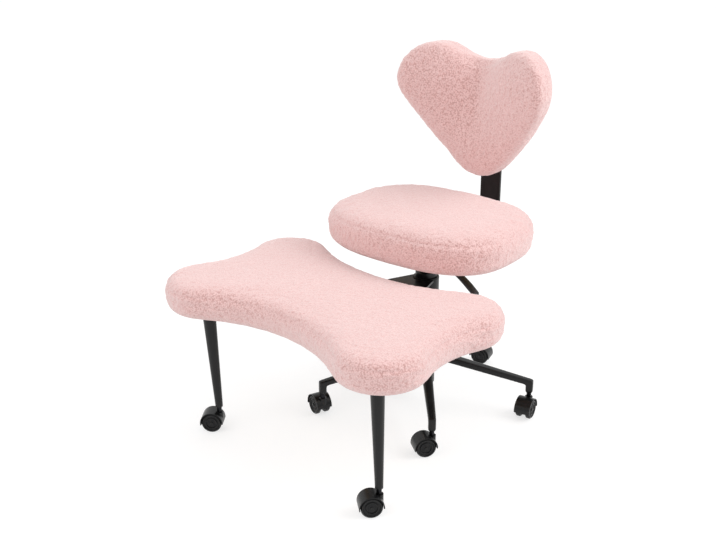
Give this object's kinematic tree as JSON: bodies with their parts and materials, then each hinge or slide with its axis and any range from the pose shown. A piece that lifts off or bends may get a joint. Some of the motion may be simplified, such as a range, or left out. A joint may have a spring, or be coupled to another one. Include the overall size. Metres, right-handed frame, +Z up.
{
  "type": "cross-legged office chair",
  "caption": "Office chair with a round seat on a gas lift, a heart-shaped back and a wide leg rest that turns round the column for sitting with crossed legs.",
  "frame": {"origin": "on the floor, under the axis of the column", "axes": "+Z up along the column; the sitter faces -Y, so the leg rest is on the -Y side and the back on the +Y side; +X is to the sitter's left and the picture's right, where the lever is"},
  "size_m": [0.6986, 0.8246, 0.818],
  "materials": {
    "sherpa_fabric": "short looped pile, matt",
    "plywood": "raw plywood",
    "black_steel": "satin black powder coat",
    "dark_stem": "black finish",
    "bright_steel": "ground steel",
    "bolt_steel": "zinc plated",
    "nylon": "matt",
    "grip_plastic": "satin",
    "hood_plastic": "satin moulded",
    "wheel_plastic": "gloss moulded"
  },
  "bodies": {
    "base": {"star_hub": "black_steel", "star_leg_1": "black_steel", "star_leg_2": "black_steel", "star_leg_3": "black_steel", "star_leg_4": "black_steel", "star_leg_5": "black_steel", "base_caster_stems": "dark_stem", "column_tube": "black_steel", "guide_bush": "nylon", "thrust_bearing": "bright_steel"},
    "rod": {"piston_rod": "bright_steel", "retaining_clip": "bright_steel"},
    "seat": {"gas_cylinder": "black_steel", "seat_plate": "black_steel", "seat_board": "plywood", "seat_cushion": "sherpa_fabric", "back_bar": "black_steel", "back_board": "plywood", "back_cushion": "sherpa_fabric", "seat_bolts": "bolt_steel"},
    "valve": {"valve_button": "bright_steel"},
    "lever": {"release_lever": "black_steel", "lever_grip": "grip_plastic"},
    "leg_rest": {"leg_rest_board": "plywood", "leg_rest_cushion": "sherpa_fabric", "leg_rest_leg_left": "black_steel", "leg_rest_leg_right": "black_steel", "swing_arm": "black_steel", "arm_sleeve": "black_steel", "arm_bush": "nylon", "leg_rest_bolts": "bolt_steel", "leg_rest_caster_stems": "dark_stem"},
    "caster_1": {"caster_1_hood": "hood_plastic", "caster_1_axle": "bright_steel"},
    "caster_1_wheel_left": {"caster_1_wheel_left": "wheel_plastic"},
    "caster_1_wheel_right": {"caster_1_wheel_right": "wheel_plastic"},
    "caster_2": {"caster_2_hood": "hood_plastic", "caster_2_axle": "bright_steel"},
    "caster_2_wheel_left": {"caster_2_wheel_left": "wheel_plastic"},
    "caster_2_wheel_right": {"caster_2_wheel_right": "wheel_plastic"},
    "caster_3": {"caster_3_hood": "hood_plastic", "caster_3_axle": "bright_steel"},
    "caster_3_wheel_left": {"caster_3_wheel_left": "wheel_plastic"},
    "caster_3_wheel_right": {"caster_3_wheel_right": "wheel_plastic"},
    "caster_4": {"caster_4_hood": "hood_plastic", "caster_4_axle": "bright_steel"},
    "caster_4_wheel_left": {"caster_4_wheel_left": "wheel_plastic"},
    "caster_4_wheel_right": {"caster_4_wheel_right": "wheel_plastic"},
    "caster_5": {"caster_5_hood": "hood_plastic", "caster_5_axle": "bright_steel"},
    "caster_5_wheel_left": {"caster_5_wheel_left": "wheel_plastic"},
    "caster_5_wheel_right": {"caster_5_wheel_right": "wheel_plastic"},
    "caster_6": {"caster_6_hood": "hood_plastic", "caster_6_axle": "bright_steel"},
    "caster_6_wheel_left": {"caster_6_wheel_left": "wheel_plastic"},
    "caster_6_wheel_right": {"caster_6_wheel_right": "wheel_plastic"},
    "caster_7": {"caster_7_hood": "hood_plastic", "caster_7_axle": "bright_steel"},
    "caster_7_wheel_left": {"caster_7_wheel_left": "wheel_plastic"},
    "caster_7_wheel_right": {"caster_7_wheel_right": "wheel_plastic"}
  },
  "joints": [
    {"name": "seat_swivel", "type": "hinge", "parent": "base", "child": "rod", "pos_m": [0, 0, 0.3], "axis": [0, 0, 1], "continuous": true},
    {"name": "seat_lift", "type": "slide", "parent": "rod", "child": "seat", "axis": [0, 0, 1], "range_m": [0, 0.1]},
    {"name": "lever_pull", "type": "hinge", "parent": "seat", "child": "lever", "pos_m": [0.043, -0.024, 0.3806], "axis": [0, -1, 0], "range_deg": [0, 4], "stiffness_Nm_per_rad": 1},
    {"name": "valve_press", "type": "slide", "parent": "seat", "child": "valve", "axis": [0, 0, -1], "range_m": [0, 0.0032], "stiffness_N_per_m": 400},
    {"name": "leg_rest_orbit", "type": "hinge", "parent": "base", "child": "leg_rest", "pos_m": [0, 0, 0.3], "axis": [0, 0, 1], "continuous": true},
    {"name": "caster_1_swivel", "type": "hinge", "parent": "base", "child": "caster_1", "pos_m": [0.16198, -0.19304, 0.035], "axis": [0, 0, 1], "continuous": true},
    {"name": "caster_1_left_roll", "type": "hinge", "parent": "caster_1", "child": "caster_1_wheel_left", "pos_m": [0.15182, -0.20605, 0.0225], "axis": [0.788, -0.6157, 0], "continuous": true},
    {"name": "caster_1_right_roll", "type": "hinge", "parent": "caster_1", "child": "caster_1_wheel_right", "pos_m": [0.15182, -0.20605, 0.0225], "axis": [0.788, -0.6157, 0], "continuous": true},
    {"name": "caster_2_swivel", "type": "hinge", "parent": "base", "child": "caster_2", "pos_m": [0.23365, 0.0944, 0.035], "axis": [0, 0, 1], "continuous": true},
    {"name": "caster_2_left_roll", "type": "hinge", "parent": "caster_2", "child": "caster_2_wheel_left", "pos_m": [0.23623, 0.0781, 0.0225], "axis": [0.9877, 0.1564, 0], "continuous": true},
    {"name": "caster_2_right_roll", "type": "hinge", "parent": "caster_2", "child": "caster_2_wheel_right", "pos_m": [0.23623, 0.0781, 0.0225], "axis": [0.9877, 0.1564, 0], "continuous": true},
    {"name": "caster_3_swivel", "type": "hinge", "parent": "base", "child": "caster_3", "pos_m": [-0.01758, 0.25139, 0.035], "axis": [0, 0, 1], "continuous": true},
    {"name": "caster_3_left_roll", "type": "hinge", "parent": "caster_3", "child": "caster_3_wheel_left", "pos_m": [-0.00164, 0.25566, 0.0225], "axis": [-0.2588, 0.9659, 0], "continuous": true},
    {"name": "caster_3_right_roll", "type": "hinge", "parent": "caster_3", "child": "caster_3_wheel_right", "pos_m": [-0.00164, 0.25566, 0.0225], "axis": [-0.2588, 0.9659, 0], "continuous": true},
    {"name": "caster_4_swivel", "type": "hinge", "parent": "base", "child": "caster_4", "pos_m": [-0.24452, 0.06096, 0.035], "axis": [0, 0, 1], "continuous": true},
    {"name": "caster_4_left_roll", "type": "hinge", "parent": "caster_4", "child": "caster_4_wheel_left", "pos_m": [-0.26076, 0.0581, 0.0225], "axis": [0.1736, -0.9848, 0], "continuous": true},
    {"name": "caster_4_right_roll", "type": "hinge", "parent": "caster_4", "child": "caster_4_wheel_right", "pos_m": [-0.26076, 0.0581, 0.0225], "axis": [0.1736, -0.9848, 0], "continuous": true},
    {"name": "caster_5_swivel", "type": "hinge", "parent": "base", "child": "caster_5", "pos_m": [-0.13354, -0.21371, 0.035], "axis": [0, 0, 1], "continuous": true},
    {"name": "caster_5_left_roll", "type": "hinge", "parent": "caster_5", "child": "caster_5_wheel_left", "pos_m": [-0.14894, -0.2078, 0.0225], "axis": [-0.3584, -0.9336, 0], "continuous": true},
    {"name": "caster_5_right_roll", "type": "hinge", "parent": "caster_5", "child": "caster_5_wheel_right", "pos_m": [-0.14894, -0.2078, 0.0225], "axis": [-0.3584, -0.9336, 0], "continuous": true},
    {"name": "caster_6_swivel", "type": "hinge", "parent": "leg_rest", "child": "caster_6", "pos_m": [0.21403, -0.44416, 0.035], "axis": [0, 0, 1], "continuous": true},
    {"name": "caster_6_left_roll", "type": "hinge", "parent": "caster_6", "child": "caster_6_wheel_left", "pos_m": [0.20289, -0.45633, 0.0225], "axis": [0.7373, -0.6756, 0], "continuous": true},
    {"name": "caster_6_right_roll", "type": "hinge", "parent": "caster_6", "child": "caster_6_wheel_right", "pos_m": [0.20289, -0.45633, 0.0225], "axis": [0.7373, -0.6756, 0], "continuous": true},
    {"name": "caster_7_swivel", "type": "hinge", "parent": "leg_rest", "child": "caster_7", "pos_m": [-0.2709, -0.41195, 0.035], "axis": [0, 0, 1], "continuous": true},
    {"name": "caster_7_left_roll", "type": "hinge", "parent": "caster_7", "child": "caster_7_wheel_left", "pos_m": [-0.28433, -0.42153, 0.0225], "axis": [0.5807, -0.8141, 0], "continuous": true},
    {"name": "caster_7_right_roll", "type": "hinge", "parent": "caster_7", "child": "caster_7_wheel_right", "pos_m": [-0.28433, -0.42153, 0.0225], "axis": [0.5807, -0.8141, 0], "continuous": true}
  ],
  "couplings": [
    {"joint": "valve_press", "follows": "lever_pull", "m_per_rad": 0.043}
  ]
}
